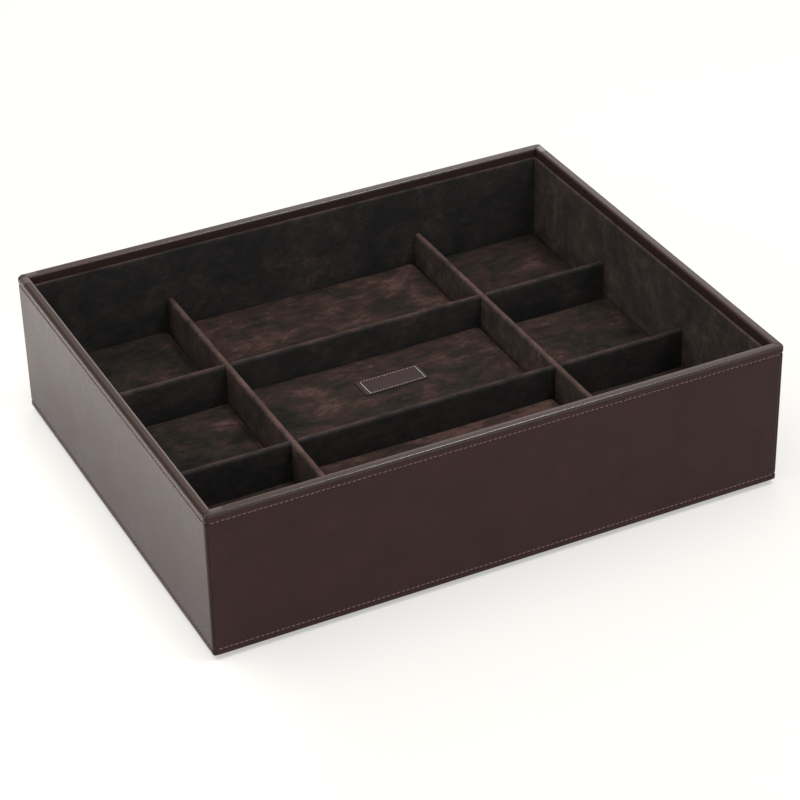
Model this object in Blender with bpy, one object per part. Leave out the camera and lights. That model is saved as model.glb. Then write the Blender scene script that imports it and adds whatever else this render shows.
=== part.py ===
import math

import bmesh
import bpy
from mathutils import Matrix, Vector

# Stackable watch box: an open leatherette tray lined with velvet, with a lift-out divider grid
# and nine drop-in pads. Metres, +Z up, front at -Y, origin under the middle of the foot.

# Outer box
box_width = 0.3600
box_depth = 0.2880
wall_height = 0.0925          # from the turned-under hem to the rim
foot_drop = 0.0030            # how far the foot stands below the walls
stack_clearance = 0.0010      # between the foot and the rim of the box below, each side
corner_round = 0.0020         # upright corners, in plan
foot_corner_round = 0.0030

# Sheet and board
leatherette = 0.0008
wall_board = 0.0036
base_board = 0.0036
foot_felt = 0.0008
floor_felt = 0.0012
velvet = 0.0007
liner_card = 0.0013
divider_card = 0.0022
pad_card = 0.0020
label_cloth = 0.0005
seat_gap = 0.0003             # glue line, or air under a piece that rests

# Leatherette wrap
rim_outer_round = 0.0015
rim_inner_round = 0.0010
hem_round = 0.0010
rim_reveal = 0.0052           # bare wrap between the rim and the top of the velvet liner
return_tuck = 0.0060          # how far the wrap runs on behind the liner
liner_round = 0.0009

# Divider grid
divider_height = 0.0490
divider_round = 0.0018
side_column_width = 0.0835    # clear width of the outer columns of cells
middle_row_depth = 0.0898     # clear depth of the middle row of cells
divider_end_clearance = 0.0003
slot_clearance = 0.0003       # between a divider and the slot it drops into, each side

# Pads
wide_pad_height = 0.0300      # floor to shoulder, middle column
side_pad_height = 0.0288      # floor to shoulder, outer columns
side_pad_end_clearance = 0.0035   # each end, in the shallowest cell
side_pad_front_gap = {"front": 0.0012, "middle": 0.0034, "rear": 0.0049}  # they lie loose
pad_side_clearance = 0.0016
wide_pad_end_clearance = 0.0016
pad_crown = 0.0008            # rise from the shoulder to the middle
pad_shoulder = 0.0030
pad_corner = 0.0070           # upright corners, in plan
pad_draw_in = 0.0008          # how far each side pulls in between its corners
pad_hem = 0.0080              # velvet turned under the card

# Label
label_width = 0.0430
label_depth = 0.0170
label_right = 0.0042          # label centre, from the middle of its pad
label_back = 0.0092

overrun = 0.0020              # how far every cutter passes the face it cuts
arc_steps = 3                 # facets in a quarter round
crown_shares = (0.78, 0.42)   # rings of a crown, as shares of the way out to the shoulder

# Depths are measured inwards from the outer face of a wall
board_outer_depth = leatherette + seat_gap
board_inner_depth = board_outer_depth + wall_board
wall_thickness = board_inner_depth + seat_gap + leatherette
liner_back_depth = wall_thickness + seat_gap
liner_face_depth = liner_back_depth + liner_card + seat_gap + velvet
foot_edge_depth = wall_thickness + stack_clearance
base_edge_depth = board_inner_depth + seat_gap

# Heights
wall_bottom = foot_drop
rim_top = wall_bottom + wall_height
base_bottom = wall_bottom + seat_gap
floor_bottom = base_bottom + base_board + seat_gap
floor_top = floor_bottom + floor_felt
stand_height = floor_top + seat_gap
liner_top = rim_top - rim_reveal
divider_top = stand_height + divider_height
lap_height = stand_height + divider_height / 2

# Plan of the cells
cell_half_width = box_width / 2 - liner_face_depth
cell_half_depth = box_depth / 2 - liner_face_depth
divider_thickness = divider_card + 2 * (velvet + seat_gap)
long_divider_x = cell_half_width - side_column_width - divider_thickness / 2
cross_divider_y = (middle_row_depth + divider_thickness) / 2

finishes = {                  # colour, roughness
    "leatherette": ((0.045, 0.028, 0.026), 0.45),
    "board": ((0.40, 0.28, 0.17), 0.80),
    "card": ((0.33, 0.31, 0.28), 0.85),
    "velvet": ((0.030, 0.024, 0.023), 0.95),
    "felt": ((0.012, 0.012, 0.013), 0.95),
    "foam": ((0.62, 0.60, 0.52), 0.90),
    "label": ((0.020, 0.016, 0.016), 0.70),
}


def clear_scene():
    for thing in list(bpy.data.objects):
        bpy.data.objects.remove(thing, do_unlink=True)


def make_material(name, finish):
    colour, roughness = finishes[finish]
    material = bpy.data.materials.new(name)
    material.use_nodes = True
    shader = material.node_tree.nodes["Principled BSDF"]
    shader.inputs["Base Color"].default_value = (*colour, 1)
    shader.inputs["Roughness"].default_value = roughness
    shader.inputs["Metallic"].default_value = 0
    return material


def add_piece(name, shape, finish, parent=None):
    """Turn a bmesh into a named object of its own material."""
    bmesh.ops.recalc_face_normals(shape, faces=shape.faces)
    mesh = bpy.data.meshes.new(name)
    shape.to_mesh(mesh)
    shape.free()
    piece = bpy.data.objects.new(name, mesh)
    mesh.materials.append(make_material(name, finish))
    bpy.context.scene.collection.objects.link(piece)
    piece.parent = parent
    return piece


def add_frame(name, place, turn=0):
    """An empty that carries pieces: at a wall's outer face, or on a slide's axis."""
    frame = bpy.data.objects.new(name, None)
    bpy.context.scene.collection.objects.link(frame)
    frame.location = place
    frame.rotation_euler = (0, 0, turn)
    return frame


def cut_with(piece, cutter, operation):
    """Boolean one piece with a hidden cutter that shares its parent."""
    cutter.parent = piece.parent
    cutter.hide_render = True
    cutter.display_type = "WIRE"
    boolean = piece.modifiers.new(cutter.name, "BOOLEAN")
    boolean.operation = operation
    boolean.solver = "EXACT"
    boolean.object = cutter


def rounded_outline(corners):
    """Closed outline through (a, b, radius) corners, each rounded in facets."""
    outline = []
    for index, (a, b, radius) in enumerate(corners):
        corner = Vector((a, b))
        if radius <= 0:
            outline.append(corner)
            continue
        before = (Vector(corners[index - 1][:2]) - corner).normalized()
        after = (Vector(corners[(index + 1) % len(corners)][:2]) - corner).normalized()
        half_angle = before.angle(after) / 2
        centre = corner + (before + after).normalized() * radius / math.sin(half_angle)
        start = corner + before * radius / math.tan(half_angle) - centre
        end = corner + after * radius / math.tan(half_angle) - centre
        sweep = start.angle_signed(end)
        for step in range(arc_steps + 1):
            outline.append(centre + Matrix.Rotation(-sweep * step / arc_steps, 2) @ start)
    return outline


def bridge(shape, rings):
    """Join each ring of points to the next with a band of quads."""
    for lower, upper in zip(rings, rings[1:]):
        for index, point in enumerate(lower):
            following = (index + 1) % len(lower)
            shape.faces.new((point, lower[following], upper[following], upper[index]))


def prism(outline, low, high, place):
    """Extrude an outline from low to high; place turns (a, b, along) into a point."""
    shape = bmesh.new()
    ends = []
    for along in (low, high):
        ends.append([shape.verts.new(place(a, b, along)) for a, b in outline])
    shape.faces.new(ends[0])
    shape.faces.new(ends[1])
    bridge(shape, ends)
    return shape


def along_x(y, z, x):
    return (x, y, z)


def along_y(x, z, y):
    return (x, y, z)


def along_z(x, y, z):
    return (x, y, z)


def rectangle(half_a, half_b, radius=0):
    corners = ((-half_a, -half_b), (half_a, -half_b), (half_a, half_b), (-half_a, half_b))
    return rounded_outline([(a, b, radius) for a, b in corners])


def span(low_a, high_a, low_b, high_b):
    return [(low_a, low_b), (high_a, low_b), (high_a, high_b), (low_a, high_b)]


def slab(half_width, half_depth, low, high, radius=0):
    return prism(rectangle(half_width, half_depth, radius), low, high, along_z)


def wrap_section():
    """Leatherette: hem, outer face, rim and the return behind the liner."""
    inner_bottom = wall_bottom + leatherette
    inner_top = rim_top - leatherette
    return_depth = wall_thickness - leatherette
    return_bottom = liner_top - return_tuck
    return rounded_outline([
        (board_inner_depth, wall_bottom, 0),
        (0, wall_bottom, hem_round),
        (0, rim_top, rim_outer_round),
        (wall_thickness, rim_top, rim_inner_round),
        (wall_thickness, return_bottom, 0),
        (return_depth, return_bottom, 0),
        (return_depth, inner_top, rim_inner_round - leatherette),
        (leatherette, inner_top, rim_outer_round - leatherette),
        (leatherette, inner_bottom, hem_round - leatherette),
        (board_inner_depth, inner_bottom, 0),
    ])


def mitre_plan(half_run):
    """Plan of one wall between its mitres, with the upright corners rounded."""
    reach = wall_thickness + overrun
    offset = seat_gap / math.sqrt(2)
    first = math.radians(315) - math.acos(offset / (corner_round * math.sqrt(2)))
    last = math.radians(270)
    left = [(reach + offset - half_run, reach)]
    for step in range(arc_steps + 1):
        angle = first + (last - first) * step / arc_steps
        x = corner_round - half_run + corner_round * math.cos(angle)
        left.append((x, corner_round + corner_round * math.sin(angle)))
    return left + [(-x, y) for x, y in reversed(left)]


def liner_section():
    """Velvet on a liner: the face, and the fold over the top of its card."""
    fold_bottom = liner_top - velvet
    back_of_face = liner_face_depth - velvet
    return rounded_outline([
        (liner_face_depth, stand_height, 0),
        (liner_face_depth, liner_top, liner_round),
        (liner_back_depth, liner_top, 0),
        (liner_back_depth, fold_bottom, 0),
        (back_of_face, fold_bottom, liner_round - velvet),
        (back_of_face, stand_height, 0),
    ])


def build_wall(side, turn, half_run, reach, butted):
    """One wall: board, leatherette wrap, liner card and liner velvet."""
    turn = math.radians(turn)
    frame = add_frame(side + "_wall", Matrix.Rotation(turn, 3, "Z") @ Vector((0, -reach, 0)), turn)

    board_half = half_run - board_outer_depth
    liner_half = half_run - liner_back_depth
    if butted:
        board_half = half_run - board_inner_depth - seat_gap
        liner_half = half_run - liner_face_depth - seat_gap

    board_low = wall_bottom + leatherette + seat_gap
    board_high = rim_top - leatherette - seat_gap
    section = span(board_outer_depth, board_inner_depth, board_low, board_high)
    add_piece(side + "_wall_board", prism(section, -board_half, board_half, along_x), "board", frame)

    wrap = add_piece(side + "_wall_cover", prism(wrap_section(), -half_run, half_run, along_x),
                     "leatherette", frame)
    plan = prism(mitre_plan(half_run), -overrun, rim_top + overrun, along_z)
    cut_with(wrap, add_piece(side + "_mitre_cutter", plan, "board"), "INTERSECT")

    card_high = liner_top - velvet - seat_gap
    section = span(liner_back_depth, liner_back_depth + liner_card, stand_height, card_high)
    add_piece(side + "_liner_card", prism(section, -liner_half, liner_half, along_x), "card", frame)
    velvet_shape = prism(liner_section(), -liner_half, liner_half, along_x)
    add_piece(side + "_liner_velvet", velvet_shape, "velvet", frame)


def build_base():
    """Foot with its felt, base board and floor liner, glued in a stack."""
    foot_half_width = box_width / 2 - foot_edge_depth
    foot_half_depth = box_depth / 2 - foot_edge_depth
    base_half_width = box_width / 2 - base_edge_depth
    base_half_depth = box_depth / 2 - base_edge_depth

    felt = slab(foot_half_width, foot_half_depth, 0, foot_felt, foot_corner_round)
    add_piece("foot_felt", felt, "felt")
    foot = slab(foot_half_width, foot_half_depth, foot_felt + seat_gap, foot_drop,
                foot_corner_round)
    add_piece("foot_board", foot, "board")
    base = slab(base_half_width, base_half_depth, base_bottom, base_bottom + base_board)
    add_piece("base_board", base, "board")
    floor = slab(base_half_width, base_half_depth, floor_bottom, floor_top)
    add_piece("floor_liner", floor, "velvet")


def sleeve_section():
    """Velvet over a divider: an upside-down U with a rounded top."""
    half = divider_thickness / 2
    return rounded_outline([
        (-half, stand_height, 0),
        (-half, divider_top, divider_round),
        (half, divider_top, divider_round),
        (half, stand_height, 0),
        (half - velvet, stand_height, 0),
        (half - velvet, divider_top - velvet, divider_round - velvet),
        (velvet - half, divider_top - velvet, divider_round - velvet),
        (velvet - half, stand_height, 0),
    ])


def divider_card_section():
    half = divider_card / 2
    inset = velvet + seat_gap
    return rounded_outline([
        (-half, stand_height, 0),
        (-half, divider_top - inset, divider_round - inset),
        (half, divider_top - inset, divider_round - inset),
        (half, stand_height, 0),
    ])


def slot_cutter(name, centre, low, high, place):
    """A box through a divider where the other divider crosses it."""
    half = divider_thickness / 2 + slot_clearance
    section = span(-divider_thickness, divider_thickness, low, high)
    return add_piece(name, prism(section, centre - half, centre + half, place), "board")


def build_divider(name, frame, half_run, place, crossings, slot_low, slot_high):
    """One divider, card and sleeve, slotted where the others cross it."""
    for part, section, finish in (("card", divider_card_section(), "card"),
                                  ("sleeve", sleeve_section(), "velvet")):
        shape = prism(section, -half_run, half_run, place)
        piece = add_piece(name + "_" + part, shape, finish, frame)
        for number, centre in enumerate(crossings):
            cutter_name = name + "_" + part + "_slot_cutter_" + str(number)
            cut_with(piece, slot_cutter(cutter_name, centre, slot_low, slot_high, place),
                     "DIFFERENCE")


def build_dividers():
    """Cross dividers slotted from above; the long ones drop over them."""
    long_half_run = cell_half_depth - divider_end_clearance
    cross_half_run = cell_half_width - divider_end_clearance
    for name, y in (("front_cross", -cross_divider_y), ("rear_cross", cross_divider_y)):
        frame = add_frame(name, (0, y, 0))
        build_divider(name, frame, cross_half_run, along_x, (-long_divider_x, long_divider_x),
                      lap_height - seat_gap, divider_top + overrun)
    for name, x in (("left_divider", -long_divider_x), ("right_divider", long_divider_x)):
        frame = add_frame(name, (x, 0, 0))
        build_divider(name, frame, long_half_run, along_y, (-cross_divider_y, cross_divider_y),
                      stand_height - overrun, lap_height)


def pad_ring(shape, half_width, half_depth, corner, draw_in, height):
    """Ring of points round a pad: four rounded corners, sides pulled in between them."""
    points = []
    for quarter in range(4):
        sign_x = (1, -1, -1, 1)[quarter]
        sign_y = (1, 1, -1, -1)[quarter]
        centre = Vector((sign_x * (half_width - corner), sign_y * (half_depth - corner)))
        arc = []
        for step in range(arc_steps + 1):
            angle = math.radians(90) * (quarter + step / arc_steps)
            arc.append(centre + corner * Vector((math.cos(angle), math.sin(angle))))
        points.extend(arc)
        inwards = -Vector((math.cos(angle), math.sin(angle))) * draw_in
        run = (half_width, half_depth)[quarter % 2] - corner
        step_on = Matrix.Rotation(math.radians(-90), 2) @ inwards.normalized() * 2 * run / 3
        points.append(arc[-1] + step_on + inwards)
        points.append(arc[-1] + 2 * step_on + inwards)
    return [shape.verts.new((x, y, height)) for x, y in points]


def crowned_rings(shape, half_width, half_depth, shoulder_height, inset):
    """Rings from the top of a pad's side over its shoulder and up its crown."""
    rings = []
    radius = pad_shoulder - inset
    for step in range(arc_steps):
        angle = math.radians(90) * step / (arc_steps - 1)
        pull = inset + radius * (1 - math.cos(angle))
        height = shoulder_height - pad_shoulder + radius * math.sin(angle)
        rings.append(pad_ring(shape, half_width - pull, half_depth - pull,
                              max(pad_corner - pull, pad_shoulder), pad_draw_in, height))
    flat_width = half_width - pad_shoulder
    flat_depth = half_depth - pad_shoulder
    top = shoulder_height - inset
    for share in crown_shares:
        rings.append(pad_ring(shape, share * flat_width, share * flat_depth,
                              share * pad_shoulder, share * pad_draw_in,
                              top + pad_crown * (1 - share ** 2)))
    return rings, shape.verts.new((0, 0, top + pad_crown))


def cap(shape, ring, middle):
    for index, point in enumerate(ring):
        shape.faces.new((point, ring[(index + 1) % len(ring)], middle))


def build_pad(name, frame, half_width, half_depth, shoulder_height):
    """One drop-in pad: velvet cover open underneath, foam, and a stiff card."""
    card_low = velvet + seat_gap
    card_high = card_low + pad_card
    inner = velvet + seat_gap

    cover = bmesh.new()
    hem_edge = (half_width - pad_hem, half_depth - pad_hem, pad_corner, pad_draw_in)
    outer_foot = (half_width, half_depth, pad_corner, pad_draw_in)
    inner_foot = (half_width - velvet, half_depth - velvet, pad_corner - velvet, pad_draw_in)
    outer, outer_top = crowned_rings(cover, half_width, half_depth, shoulder_height, 0)
    lining, lining_top = crowned_rings(cover, half_width, half_depth, shoulder_height, velvet)
    outside = [pad_ring(cover, *hem_edge, 0), pad_ring(cover, *outer_foot, 0)] + outer
    inside = [pad_ring(cover, *hem_edge, velvet), pad_ring(cover, *inner_foot, velvet)] + lining
    bridge(cover, outside)
    bridge(cover, inside)
    bridge(cover, [outside[0], inside[0]])
    cap(cover, outside[-1], outer_top)
    cap(cover, inside[-1], lining_top)
    add_piece(name + "_pad_cover", cover, "velvet", frame)

    core = (half_width - inner, half_depth - inner, pad_corner - inner, pad_draw_in)
    foam = bmesh.new()
    rings, top = crowned_rings(foam, half_width, half_depth, shoulder_height, inner)
    rings.insert(0, pad_ring(foam, *core, card_high + seat_gap))
    bridge(foam, rings)
    foam.faces.new(rings[0])
    cap(foam, rings[-1], top)
    add_piece(name + "_pad_foam", foam, "foam", frame)

    card = bmesh.new()
    faces = [pad_ring(card, *core, card_low), pad_ring(card, *core, card_high)]
    bridge(card, faces)
    card.faces.new(faces[0])
    card.faces.new(faces[1])
    add_piece(name + "_pad_card", card, "card", frame)


def cell_spans():
    """Clear span of each column and row of cells, by name."""
    half = divider_thickness / 2
    columns = {
        "left": (-cell_half_width, -long_divider_x - half),
        "centre": (-long_divider_x + half, long_divider_x - half),
        "right": (long_divider_x + half, cell_half_width),
    }
    rows = {
        "front": (-cell_half_depth, -cross_divider_y - half),
        "middle": (-cross_divider_y + half, cross_divider_y - half),
        "rear": (cross_divider_y + half, cell_half_depth),
    }
    return columns, rows


def build_pads():
    columns, rows = cell_spans()
    shallowest = min(high_y - low_y for low_y, high_y in rows.values())
    for row, (low_y, high_y) in rows.items():
        for column, (low_x, high_x) in columns.items():
            wide = column == "centre"
            height = wide_pad_height if wide else side_pad_height
            half_depth = (high_y - low_y) / 2 - wide_pad_end_clearance
            middle_y = (low_y + high_y) / 2
            if not wide:
                half_depth = shallowest / 2 - side_pad_end_clearance
                middle_y = low_y + side_pad_front_gap[row] + half_depth
            place = ((low_x + high_x) / 2, middle_y, stand_height)
            name = row + "_" + column
            frame = add_frame(name + "_pad", place)
            build_pad(name, frame, (high_x - low_x) / 2 - pad_side_clearance, half_depth,
                      height)
            if wide and row == "middle":
                build_label(frame, height + pad_crown + seat_gap)


def build_label(frame, low):
    """Bare cloth label sewn on the middle pad."""
    shape = slab(label_width / 2, label_depth / 2, low, low + label_cloth)
    label = add_piece("centre_label", shape, "label", frame)
    label.location = (label_right, label_back, 0)


clear_scene()
for side, turn, half_run, reach, butted in (
        ("front", 0, box_width / 2, box_depth / 2, False),
        ("right", 90, box_depth / 2, box_width / 2, True),
        ("rear", 180, box_width / 2, box_depth / 2, False),
        ("left", 270, box_depth / 2, box_width / 2, True)):
    build_wall(side, turn, half_run, reach, butted)
build_base()
build_dividers()
build_pads()
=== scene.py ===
import math

import bmesh
import bpy
import numpy as np
from mathutils import Matrix, Vector, noise
from mathutils.bvhtree import BVHTree


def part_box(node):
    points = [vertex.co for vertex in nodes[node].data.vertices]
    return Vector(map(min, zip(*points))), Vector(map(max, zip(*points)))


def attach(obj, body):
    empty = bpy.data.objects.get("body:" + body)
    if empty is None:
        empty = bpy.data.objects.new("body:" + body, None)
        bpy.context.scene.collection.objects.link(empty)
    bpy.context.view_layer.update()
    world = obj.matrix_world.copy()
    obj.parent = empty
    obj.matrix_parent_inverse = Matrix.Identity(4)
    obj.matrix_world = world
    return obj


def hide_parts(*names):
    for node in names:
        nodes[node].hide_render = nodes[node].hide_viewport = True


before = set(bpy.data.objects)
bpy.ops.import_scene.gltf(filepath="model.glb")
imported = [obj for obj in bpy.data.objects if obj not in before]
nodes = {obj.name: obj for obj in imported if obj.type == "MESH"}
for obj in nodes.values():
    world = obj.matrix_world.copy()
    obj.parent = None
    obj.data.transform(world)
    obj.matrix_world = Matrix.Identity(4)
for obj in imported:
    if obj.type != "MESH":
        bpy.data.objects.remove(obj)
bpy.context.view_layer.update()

# Stackable watch box: leatherette wraps with sewn edges, velvet liners and dividers,
# nine velvet pads and a bare label. Metres, +Z up, front at -Y, as in the CAD frame.

scene = bpy.context.scene
mm = 0.001
print("frame loaded:", len(nodes), "CAD nodes")

# Sizes read from the CAD nodes, so that a changed part still fits
coverLow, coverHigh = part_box("front_wall_cover")
velvetLow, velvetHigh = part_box("front_liner_velvet")
sleeveLow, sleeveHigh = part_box("left_divider_sleeve")
crossLow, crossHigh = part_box("rear_cross_sleeve")
halfWidth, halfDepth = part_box("right_wall_cover")[1].x, -coverLow.y
wallBottom, rimTop = coverLow.z, coverHigh.z
wallThickness = coverHigh.y - coverLow.y
linerBack = velvetLow.y - coverLow.y
linerFace = velvetHigh.y - coverLow.y
linerTop, standHeight = velvetHigh.z, velvetLow.z
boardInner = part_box("front_wall_board")[1].y - coverLow.y
longDividerX = -(sleeveLow.x + sleeveHigh.x) / 2
crossDividerY = (crossLow.y + crossHigh.y) / 2
dividerTop = sleeveHigh.z
dividerHalf = (sleeveHigh.x - sleeveLow.x) / 2

# Each wall: name, turn about Z, half its run, distance of its outer face, and whether it
# wraps round the upright corners (the side walls do, the front and rear ones stop there)
walls = (
    ("front", 0, halfWidth, halfDepth, False),
    ("right", 90, halfDepth, halfWidth, True),
    ("rear", 180, halfWidth, halfDepth, False),
    ("left", 270, halfDepth, halfWidth, True),
)


# Camera at the photograph's viewing angle
cameraView = {
    "place": (-0.584517, -1.218954, 0.894605),
    "right": (0.89411, -0.44735, -0.02119),
    "up": (0.25671, 0.47318, 0.84274),
    "back": (-0.36697, -0.75894, 0.53791),
    "lens": 120.357,
    "sensor": 36,
}


def makeCamera():
    data = bpy.data.cameras.new("photoCamera")
    data.lens, data.sensor_width = cameraView["lens"], cameraView["sensor"]
    data.clip_start, data.clip_end = 0.01, 50
    camera = bpy.data.objects.new("photoCamera", data)
    scene.collection.objects.link(camera)
    axes = Matrix((cameraView["right"], cameraView["up"], cameraView["back"])).transposed()
    camera.rotation_mode = "QUATERNION"
    camera.rotation_quaternion = axes.to_quaternion()
    camera.location = cameraView["place"]
    scene.camera = camera


makeCamera()
print("camera placed")


# Small tools for materials

def toLinear(hexColour):
    # sRGB hex to the linear colour that a socket takes
    values = [int(hexColour[start:start + 2], 16) / 255 for start in (1, 3, 5)]
    return (*(v / 12.92 if v <= 0.04045 else ((v + 0.055) / 1.055) ** 2.4 for v in values), 1)


def addNode(tree, kind, settings=(), links=()):
    # One node with its settings, and its inputs fed from other nodes' outputs
    node = tree.nodes.new(kind)
    for key, value in dict(settings).items():
        if isinstance(key, int) or key in node.inputs.keys():
            node.inputs[key].default_value = value
        else:
            setattr(node, key, value)
    for key, output in dict(links).items():
        tree.links.new(output, node.inputs[key])
    return node


def calculate(tree, operation, *values):
    # The result of one operation on numbers and other nodes' outputs
    node = addNode(tree, "ShaderNodeMath", {"operation": operation})
    for place, value in enumerate(values):
        if isinstance(value, (int, float)):
            node.inputs[place].default_value = value
        else:
            tree.links.new(value, node.inputs[place])
    return node.outputs["Value"]


def remap(tree, value, start, end, low=0, high=1, shape="LINEAR"):
    # A value that runs from low to high while the given one runs from start to end
    return addNode(tree, "ShaderNodeMapRange", {
        "interpolation_type": shape, "From Min": start, "From Max": end,
        "To Min": low, "To Max": high}, {"Value": value}).outputs["Result"]


def mixColours(tree, share, first, second):
    # The second colour laid over the first by a share; each is a hex or a node's output
    node = addNode(tree, "ShaderNodeMix", {"data_type": "RGBA"}, {0: share})
    for place, colour in ((6, first), (7, second)):
        if isinstance(colour, str):
            node.inputs[place].default_value = toLinear(colour)
        else:
            tree.links.new(colour, node.inputs[place])
    return node.outputs[2]


def addNoise(tree, place, size, detail, roughness, twist=0):
    # Noise whose features have a real size
    return addNode(tree, "ShaderNodeTexNoise", {
        "Scale": 1 / size, "Detail": detail, "Roughness": roughness, "Distortion": twist},
        {"Vector": place}).outputs


def addRamp(tree, value, stops):
    ramp = addNode(tree, "ShaderNodeValToRGB", (), {"Fac": value})
    elements = ramp.color_ramp.elements
    elements[0].position, elements[0].color = stops[0][0], toLinear(stops[0][1])
    elements[1].position, elements[1].color = stops[-1][0], toLinear(stops[-1][1])
    for place, colour in stops[1:-1]:
        elements.new(place).color = toLinear(colour)
    return ramp.outputs["Color"]


def startMaterial(name, finish):
    # finish holds the values that are the same all over, set on the shader's own sockets
    material = bpy.data.materials.new(name)
    material.use_nodes = True
    tree = material.node_tree
    shader = tree.nodes["Principled BSDF"]
    for socket, value in finish.items():
        shader.inputs[socket].default_value = toLinear(value) if isinstance(value, str) else value
    place = addNode(tree, "ShaderNodeTexCoord").outputs
    return material, tree, shader, place


def finishShader(tree, shader, colour, roughness, height, relief, strength=0.5):
    bump = addNode(tree, "ShaderNodeBump", {"Strength": strength, "Distance": relief},
                   {"Height": height})
    for socket, output in (("Base Color", colour), ("Roughness", roughness),
                           ("Normal", bump.outputs["Normal"])):
        tree.links.new(output, shader.inputs[socket])


# PU leatherette, pressed with a fine calf grain and lacquered: an almost even dark
# red-brown with a satin shine that turns pale where it is seen at a low angle. The outer
# folded edges carry a painted dark reflection in a warmer dark, and hands and the next box
# polish the rims and the front one
leatherette = {
    "finish": {"IOR": 1.5, "Specular IOR Level": 0.12, "Coat Roughness": 0.16,
               "Coat IOR": 1.5},
    "stops": ((0.30, "#352121"), (0.52, "#392423"), (0.72, "#3e2725")),
    "rimColour": "#3f2921",   # the hand-polished top, where the dye has worn warmer
    # painted dark reflection, laid along the outer folded edges and upright corners
    "paintedEdgeShadeColour": "#2a170e",
    "paintedEdgeShadeShare": 0.85,
    "insideGreyReflectionColour": "#392c29",  # the turned-in part, drawn greyer and paler: a painted reflection of the grey shade inside
    "mottle": 24 * mm,
    "grain": 1.3 * mm,        # the real grain is about 0.4 mm, drawn coarser so that it shows
    "grainSoftness": 0.6,
    "roughness": (0.25, 0.31),
    "bump": 0.015 * mm,
    "coat": 0.05,             # lacquer on the flat faces
    "rimCoat": 0.21,          # and how much more of it the rims and their edges have
    "edgeCoat": 0.70,
    "rimDepth": (0.26 * mm, 0.08 * mm),     # below the rim, where its polish starts and is full
    "edgeDepth": (2.2 * mm, 1.3 * mm),      # the same inwards from an outer face
    "lipDepth": 1.4 * mm,     # width of the polished inner edge of the rear and left rims
    "insideBlend": 0.2 * mm,  # over which the outside's colour gives way to the turned-in part's
}


def edgeMasks(tree, place):
    # 1 on the rim's top, on the outer folds where a dark reflection is painted, on the
    # polished lips, and on all but the turned-in part, and 0 away from them
    axes = addNode(tree, "ShaderNodeSeparateXYZ", (), {"Vector": place}).outputs
    awayX, awayY = (calculate(tree, "ABSOLUTE", axes[axis]) for axis in "XY")

    def band(value, reach, depths):
        return remap(tree, value, reach - depths[0], reach - depths[1])

    def largest(first, *others):
        for other in others:
            first = calculate(tree, "MAXIMUM", first, other)
        return first

    def product(first, second):
        return calculate(tree, "MULTIPLY", first, second)

    def between(value, low, high):
        return product(calculate(tree, "GREATER_THAN", value, low),
                       calculate(tree, "LESS_THAN", value, high))

    high = band(axes["Z"], rimTop, leatherette["edgeDepth"])
    sideways = band(awayX, halfWidth, leatherette["edgeDepth"])
    lengthways = band(awayY, halfDepth, leatherette["edgeDepth"])
    folded = largest(product(high, largest(sideways, lengthways)), product(sideways, lengthways))

    # The edges that face front or right, where the lamp overhead shines off them
    lip = wallThickness - leatherette["lipDepth"]
    front = product(lengthways, calculate(tree, "LESS_THAN", axes["Y"], 0))
    rear = between(axes["Y"], halfDepth - 2 * wallThickness, halfDepth - lip)
    left = between(axes["X"], lip - halfWidth, 2 * wallThickness - halfWidth)
    lit = product(high, largest(rear, left, front))
    inner = (wallThickness, wallThickness - leatherette["insideBlend"])
    outside = largest(band(awayX, halfWidth, inner), band(awayY, halfDepth, inner))
    return band(axes["Z"], rimTop, leatherette["rimDepth"]), folded, lit, outside


def makeLeatherette():
    material, tree, shader, coordinates = startMaterial("puLeatherette", leatherette["finish"])
    place = coordinates["Object"]
    mottle = addNoise(tree, place, leatherette["mottle"], 3, 0.5, 0.3)["Fac"]
    rim, folded, lip, outside = edgeMasks(tree, place)
    dyed = addRamp(tree, mottle, leatherette["stops"])
    worn = mixColours(tree, rim, dyed, leatherette["rimColour"])
    # The turned-in part takes its colour with the painted grey reflection
    turned = mixColours(tree, outside, leatherette["insideGreyReflectionColour"], worn)
    # Painted dark reflection on the outer folded edges
    colour = mixColours(tree, calculate(tree, "MULTIPLY", folded, leatherette["paintedEdgeShadeShare"]),
                        turned, leatherette["paintedEdgeShadeColour"])
    coat = calculate(tree, "MULTIPLY_ADD", rim, leatherette["rimCoat"], leatherette["coat"])
    coat = calculate(tree, "MULTIPLY_ADD", lip, leatherette["edgeCoat"], coat)
    tree.links.new(coat, shader.inputs["Coat Weight"])
    cells = addNode(tree, "ShaderNodeTexVoronoi", {
        "feature": "SMOOTH_F1", "Scale": 1 / leatherette["grain"],
        "Smoothness": leatherette["grainSoftness"]}, {"Vector": place})
    finishShader(tree, shader, colour, remap(tree, mottle, 0.3, 0.7, *leatherette["roughness"]),
                 cells.outputs["Distance"], leatherette["bump"])
    return material
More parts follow.
